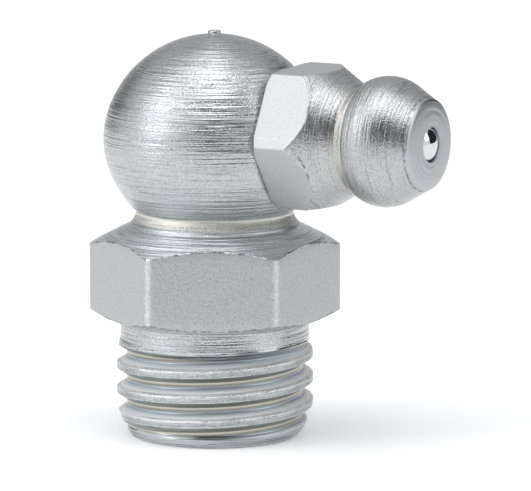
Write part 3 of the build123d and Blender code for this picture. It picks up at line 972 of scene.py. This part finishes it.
# %% An arc through three points
def arc_through(first, middle_point, last, pieces):
    """Corners along the arc through three (radius, distance) points."""
    (ax, ay), (bx, by), (cx, cy) = first, middle_point, last
    twice = 2 * (ax * (by - cy) + bx * (cy - ay) + cx * (ay - by))
    a2, b2, c2 = ax * ax + ay * ay, bx * bx + by * by, cx * cx + cy * cy
    ux = (a2 * (by - cy) + b2 * (cy - ay) + c2 * (ay - by)) / twice
    uy = (a2 * (cx - bx) + b2 * (ax - cx) + c2 * (bx - ax)) / twice
    radius = math.hypot(ax - ux, ay - uy)
    begin = math.atan2(ay - uy, ax - ux)
    half = (math.atan2(by - uy, bx - ux) - begin + math.pi) % (2 * math.pi) - math.pi
    sweep = (math.atan2(cy - uy, cx - ux) - begin + math.pi) % (2 * math.pi) - math.pi
    if sweep * half < 0:
        sweep -= math.copysign(2 * math.pi, sweep)
    turns = [begin + sweep * step / pieces for step in range(pieces + 1)]
    return [(ux + radius * math.cos(turn), uy + radius * math.sin(turn), 0, 1) for turn in turns]


print("a crown through three points:", len(arc_through((3, 0), (3.2, 1), (2.8, 2), 30)), "corners")

# %% Places along the head
head_flats = 6.68
head_round = 0.08
head_turn = 3.5
head_columns = hexagon_columns(head_flats, head_round, head_turn, 34, 2)
head_side = hexagon_radius(head_columns, head_flats, head_round, head_turn)
head_corner = hexagon_radius(np.array([30.0]), head_flats, head_round)[0]
rear_circle, front_corner = 3.55, 1.86     # radius of the rear face, distance of the corners' end
rear_slope, front_slope = math.tan(math.radians(30)), math.tan(math.radians(31))
groove_radius, groove_width, shoulder_length = 2.6, 0.38, 0.26
crown_length, taper_length, lip_length = 2.12, 0.87, 0.3
groove_start = front_corner + (head_corner - groove_radius) / front_slope
groove_end = groove_start + groove_width
shoulder = (2.99, groove_end + shoulder_length)
taper_top = (2.83, shoulder[1] + crown_length)
nose_foot = (2.31, taper_top[1] + taper_length)
face_at = nose_foot[1] + lip_length
mouth_at = face_at + 0.05
print("head sticks out", round(mouth_at, 3), "mm from the seat")

# %% Places inside the head
stem_radius, stem_end, bore_radius = 2.5, -3.0, 0.9
mouth_radius, mouth_depth = 0.86, 0.1
chamber_radius, chamber_length = 1.4, 4.3
ball_radius, seat_gap = 1.25, 0.02
seat_front = face_at - mouth_depth
# the seat cone slopes at 45 degrees: the ball's centre lies its radius x root 2 behind the tip
seat_back = seat_front - (chamber_radius - mouth_radius)
spring_step = seat_back - chamber_length
ball_distance = seat_front + mouth_radius - (ball_radius + seat_gap) * math.sqrt(2)
print("ball's centre", round(ball_distance, 3), "mm from the seat")

# %% Section of the head
crown = arc_through(shoulder, (3.2, shoulder[1] + 1.1), taper_top, 30)
rear_edge = np.maximum((head_side - rear_circle) * rear_slope, 0.04)
stem = [
    (bore_radius, stem_end, 0.02, 2), (2.2, stem_end, 0.02, 1), (stem_radius, -2.7, 0.05, 6),
    (stem_radius, 0.0, 0.02, 3), (np.minimum(rear_circle, head_side - 0.04), 0.0, 0.01, 4),
    (head_side, rear_edge, 0.03, 6),
    (head_side, front_corner + (head_corner - head_side) / front_slope, 0.05, 22),
    (groove_radius, groove_start, 0.12, 3), (groove_radius, groove_end, 0.1, 2),
    (shoulder[0], shoulder[1], 0.08, 1),
]
nose = [
    (taper_top[0], taper_top[1], 0.25, 9), (nose_foot[0] + 0.01, nose_foot[1], 0.02, 1),
    (2.29, nose_foot[1] + 0.03, 0.01, 1), (2.245, face_at - 0.12, 0.08, 2),
    (2.12, face_at - 0.035, 0.1, 2), (1.9, face_at, 0.2, 4), (1.4, face_at + 0.035, 0.2, 3),
]
bore = [
    (mouth_radius, mouth_at, 0.012, 2), (mouth_radius, seat_front, 0.01, 4),
    (chamber_radius, seat_back, 0.02, 10), (chamber_radius, spring_step, 0.02, 2),
    (bore_radius, spring_step, 0.02, 10), (bore_radius, stem_end, 0, 1),
]
head_rows = eased_section(stem + crown[1:-1] + nose + bore, len(head_columns))
print("rings on the head:", len(head_rows), "of", len(head_columns), "points")

# %% The head and what its finishes need to know
on_flats = np.abs(head_rows[:-1, :, 0] - head_side).max(axis=1) < 1e-6
place = head_rows[:-1, :, 1].min(axis=1)
outside = head_rows[:-1, :, 0].min(axis=1) > stem_radius
on_nose = place > nose_foot[1] - 0.001
in_groove = outside & (place > groove_start - 0.15) & (place < groove_end + 0.15)
head_finish = np.where(on_flats, 1, np.where(on_nose, 2, np.where(in_groove, 3, 0)))[:, None]
head = make_piece(
    "zinc_plated_head", [(around_head(head_rows, head_columns), head_finish)],
    [head_zinc, head_drawn_zinc, rolled_zinc, groove_zinc],
)
head_origin = (seat_plane, 0, head_height)
head_section = head_rows[:, 17]     # on a flat
angle, radius, height = mark_tool_path(head, head_section, head_origin, (1, 0, 0), (0, 0, 1))
side = hexagon_radius(-angle, head_flats, head_round, head_turn)
top = front_corner + (head_corner - side) / front_slope
bottom = np.maximum((side - rear_circle) * rear_slope, 0.0)
corner_gap, end_gap = gaps_to_edges(-angle - head_turn, radius, height, side, top, bottom)
seam_gap = np.hypot(radius - nose_foot[0], height - nose_foot[1])
store_vectors(head.data, "edge_gaps", np.stack([corner_gap, end_gap, seam_gap], axis=-1))

# %% [markdown]
# ## The check ball and the spring
# The ball closes the seat cone from inside and stands a little proud in the mouth, where a
# grease gun pushes it in. A sphere primitive has faces of very different sizes, so this ball is
# turned like the rest, with its poles on the head's axis. The spring is a wire along a helix whose
# end turns are closed, as on a real compression spring.

# %% Check ball
polar = np.linspace(0, np.pi, 65)[:, None]
ball_grid = (len(polar), len(round_columns))
check_rows = np.stack([
    np.broadcast_to(ball_radius * np.sin(polar), ball_grid),
    np.broadcast_to(ball_distance - ball_radius * np.cos(polar), ball_grid),
], axis=-1)
check_ball = make_piece("lapped_check_ball", [(around_head(check_rows, round_columns), 0)], [lapped_steel])

# %% The line of the spring
wire_radius, coil_radius, wire_gap = 0.15, 1.0, 0.02
spring_low = spring_step + wire_radius + wire_gap
ball_touch = ball_radius + wire_radius + wire_gap
spring_high = ball_distance - math.sqrt(ball_touch ** 2 - coil_radius ** 2)
closed_pitch = 0.32
open_pitch = (spring_high - spring_low - 2 * closed_pitch) / 3
points_a_turn = 32
turns = np.linspace(0, 5, 5 * points_a_turn + 1)
climb = np.interp(turns, [0, 1, 4, 5], np.cumsum([0, closed_pitch, 3 * open_pitch, closed_pitch]))
round_y = coil_radius * np.cos(2 * np.pi * turns)
round_z = coil_radius * np.sin(2 * np.pi * turns)
line = np.stack([spring_low + climb, round_y, round_z], axis=-1)
print("open turns", round(open_pitch, 3), "mm apart, closed turns", closed_pitch)

# %% The wire round that line
wire_points = 13
ahead = np.gradient(line, axis=0)
ahead /= np.linalg.norm(ahead, axis=1, keepdims=True)
outward = line * np.array([0, 1, 1])
outward /= np.linalg.norm(outward, axis=1, keepdims=True)
beside = np.cross(ahead, outward)
ring = np.radians(np.linspace(0, 360, wire_points))[None, :, None]
skin = wire_radius * (outward[:, None] * np.cos(ring) + beside[:, None] * np.sin(ring))
first_end, last_end = (np.repeat(end[:, None], wire_points, axis=1) for end in (line[:1], line[-1:]))
wire = np.concatenate([first_end, line[:, None] + skin, last_end])
spring = make_piece("drawn_wire_spring", [(wire + np.array(head_origin), 0)], [wire_steel])

# %% [markdown]
# ## Pieces on the frame
# Each piece takes the place of the plain solid of the same part, and rides on the body of the
# mechanism that it belongs to. Only the check ball moves: it slides in against the spring, which
# on the real part squashes towards its step.

# %% Ride and replace
for piece, node, body_name, slot in (
    (body, "fitting_body", "fitting", "zinc_plated_body"),
    (head, "nipple_head", "fitting", "zinc_plated_head"),
    (check_ball, "check_ball", "check_ball", "hardened_ball"),
    (spring, "valve_spring", "fitting", "spring_wire"),
):
    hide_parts(node)
    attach(piece, body_name)
    low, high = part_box(node)
    corners = np.array([piece.matrix_world @ Vector(corner) for corner in piece.bound_box]) / MM
    print(node, "solid", np.round(np.array(low) / MM, 3), np.round(np.array(high) / MM, 3))
    print("    looks", corners.min(axis=0).round(3), corners.max(axis=0).round(3))
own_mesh(spring)

# %% [markdown]
# ## The floor
# The floor is a plain pale sheet just under the end of the shank. A little of its own light,
# only for what looks at it directly, in a reflection or through glass, brings it to the white
# of a studio sheet. That adds no light to the object, and the shadow stays.

# %% Flat sheets and matt paint
def flat_sheet(name, width, height):
    """A rectangle about its own middle."""
    mesh = bpy.data.meshes.new(name)
    half, tall = width / 2, height / 2
    corners = [(-half, -tall, 0), (half, -tall, 0), (half, tall, 0), (-half, tall, 0)]
    mesh.from_pydata(corners, [], [(0, 1, 2, 3)])
    sheet = add_object(name, mesh)
    return sheet


def matt_paint(name, shade, roughness):
    """Plain matt paint: no metal, almost no shine."""
    paint = bpy.data.materials.new(name)
    paint.use_nodes = True
    surface = paint.node_tree.nodes["Principled BSDF"]
    surface.inputs["Base Color"].default_value = linear(shade)
    surface.inputs["Roughness"].default_value = roughness
    surface.inputs["Specular IOR Level"].default_value = 0.1
    return paint, paint.node_tree, surface


print("the shank's end is at", shank_end, "mm")

# %% Studio floor
floor_gap, floor_glow = 0.01, 0.23
floor = flat_sheet("studio_floor", 4, 4)
floor.location.z = (shank_end - floor_gap) * MM
floor_paint, tree, surface = matt_paint("pale_paper_floor", "#F2F2F2", 0.9)
ray = add_node(tree, "ShaderNodeLightPath").node
links = {0: ray.outputs["Is Camera Ray"], 1: ray.outputs["Is Glossy Ray"]}
seen = add_node(tree, "ShaderNodeMath", {"operation": "MAXIMUM"}, links)
links = {0: seen, 1: ray.outputs["Is Transmission Ray"]}
seen = add_node(tree, "ShaderNodeMath", {"operation": "MAXIMUM"}, links)
glow = add_node(tree, "ShaderNodeMath", {"operation": "MULTIPLY", 1: floor_glow}, {0: seen})
surface.inputs["Emission Color"].default_value = (1, 1, 1, 1)
tree.links.new(glow, surface.inputs["Emission Strength"])
floor.data.materials.append(floor_paint)
print("floor at", round(floor.location.z / MM, 3), "mm")

# %% [markdown]
# ## Soft studio light
# Bare metal shows the room, so the room is what gives it shape. The air is nearly white and a
# little dimmer behind and above. Three softboxes, one tall on the left, one overhead and one in
# front on the right, draw the bright bands, and three dark felt cards draw the dark ones. The
# directions are given as seen from the camera: how far right, up and towards it. They are
# turned to the room's own axes here, once.

# %% Directions round the object
azimuth, elevation = math.radians(30.855), math.radians(8.76)
view_right = Vector((math.cos(azimuth), math.sin(azimuth), 0))
flat_back = Vector((math.sin(azimuth), -math.cos(azimuth), 0))
view_back = flat_back * math.cos(elevation) + Vector((0, 0, math.sin(elevation)))
view_up = view_back.cross(view_right)


def direction_to(right, up, back):
    """The direction that lies so far right, up and towards the camera."""
    return (view_right * right + view_up * up + view_back * back).normalized()


print("the camera looks from", [round(value, 3) for value in view_back])

# %% The air of the studio
world = bpy.data.worlds.new("studio_air")
bpy.context.scene.world = world
world.use_nodes = True
air = world.node_tree
air.nodes.clear()
direction = add_node(air, "ShaderNodeTexCoord", output="Generated")
dim_side = direction_to(0.25, 0.75, -0.61)
settings = {"operation": "DOT_PRODUCT", 1: dim_side}
toward = add_node(air, "ShaderNodeVectorMath", settings, {0: direction}, output="Value")
limits = {"From Min": 0.2, "From Max": 0.85, "To Min": 0.92, "To Max": 0.56}
level = add_node(air, "ShaderNodeMapRange", {"interpolation_type": "SMOOTHSTEP", **limits}, {"Value": toward})
sky = add_node(air, "ShaderNodeBackground", {"Color": (0.97, 0.985, 1.0, 1.0)}, {"Strength": level})
add_node(air, "ShaderNodeOutputWorld", links={"Surface": sky})
print("air from", limits["To Max"], "to", limits["To Min"])

# %% Softboxes
lit_middle = Vector((0.003, 0, 0.005))
box_distance = 0.6


def face_object(thing, direction, distance):
    """Places a lamp or a card so many metres out, facing the object."""
    thing.location = direction * distance + lit_middle
    thing.rotation_euler = direction.to_track_quat("Z", "Y").to_euler()
    bpy.context.view_layer.update()


for name, direction, width, height, level in (
    ("tall_softbox_left", (-0.778, 0.50, 0.38), 0.20, 0.62, 2.1),
    ("overhead_softbox", (-0.03, 0.940, 0.34), 0.38, 0.48, 2.0),
    ("softbox_right_front", (0.806, 0.5, 0.317), 0.266, 0.437, 1.5),
):
    lamp = bpy.data.lights.new(name, "AREA")
    lamp.shape = "RECTANGLE"
    lamp.size, lamp.size_y = width, height
    # the energy that makes the face as bright as level, where 1 is white
    lamp.energy = math.pi * width * height * level
    face_object(add_object(name, lamp), direction_to(*direction), box_distance)
    print(name, round(lamp.energy, 3), "W")

# %% Dark cards
for name, direction, distance, width, height, shade in (
    ("dark_card_right", (0.852, 0.342, -0.397), 0.7, 0.9, 0.5, "#303030"),
    ("dark_card_left", (-0.66, 0.25, -0.71), 0.7, 0.5, 0.5, "#8A8A8A"),
    ("dark_card_behind_camera", (0.15, 0.24, 0.96), 0.4, 0.54, 0.32, "#5A5A5A"),
):
    card = flat_sheet(name, width, height)
    card.visible_camera = False
    felt, _, _ = matt_paint(name + "_felt", shade, 1.0)
    card.data.materials.append(felt)
    face_object(card, direction_to(*direction), distance)
    print(name, width, "by", height, "m")

# %% [markdown]
# ## The camera
# A long lens from 200 mm away, a little above the middle and a twelfth of a turn round from
# straight in front. The aim is off the object's middle, because the head reaches out to the right.

# %% Camera
camera_distance, aim_right, aim_down = 200, 2.539, 1.495
lens_to_picture = 7.5227872     # the lens's length over the width of its picture
camera_data = bpy.data.cameras.new("camera")
camera_data.sensor_width = 36
camera_data.lens = lens_to_picture * camera_data.sensor_width
camera_data.clip_start = 0.01
camera = add_object("camera", camera_data)
aim = Vector((0, 0, 5)) + aim_right * view_right - aim_down * view_up
camera.location = (aim + camera_distance * view_back) * MM
camera.rotation_euler = view_back.to_track_quat("Z", "Y").to_euler()
bpy.context.scene.camera = camera
bpy.context.scene.view_settings.view_transform = "Standard"
print("camera at", [round(value / MM, 1) for value in camera.location], "mm")
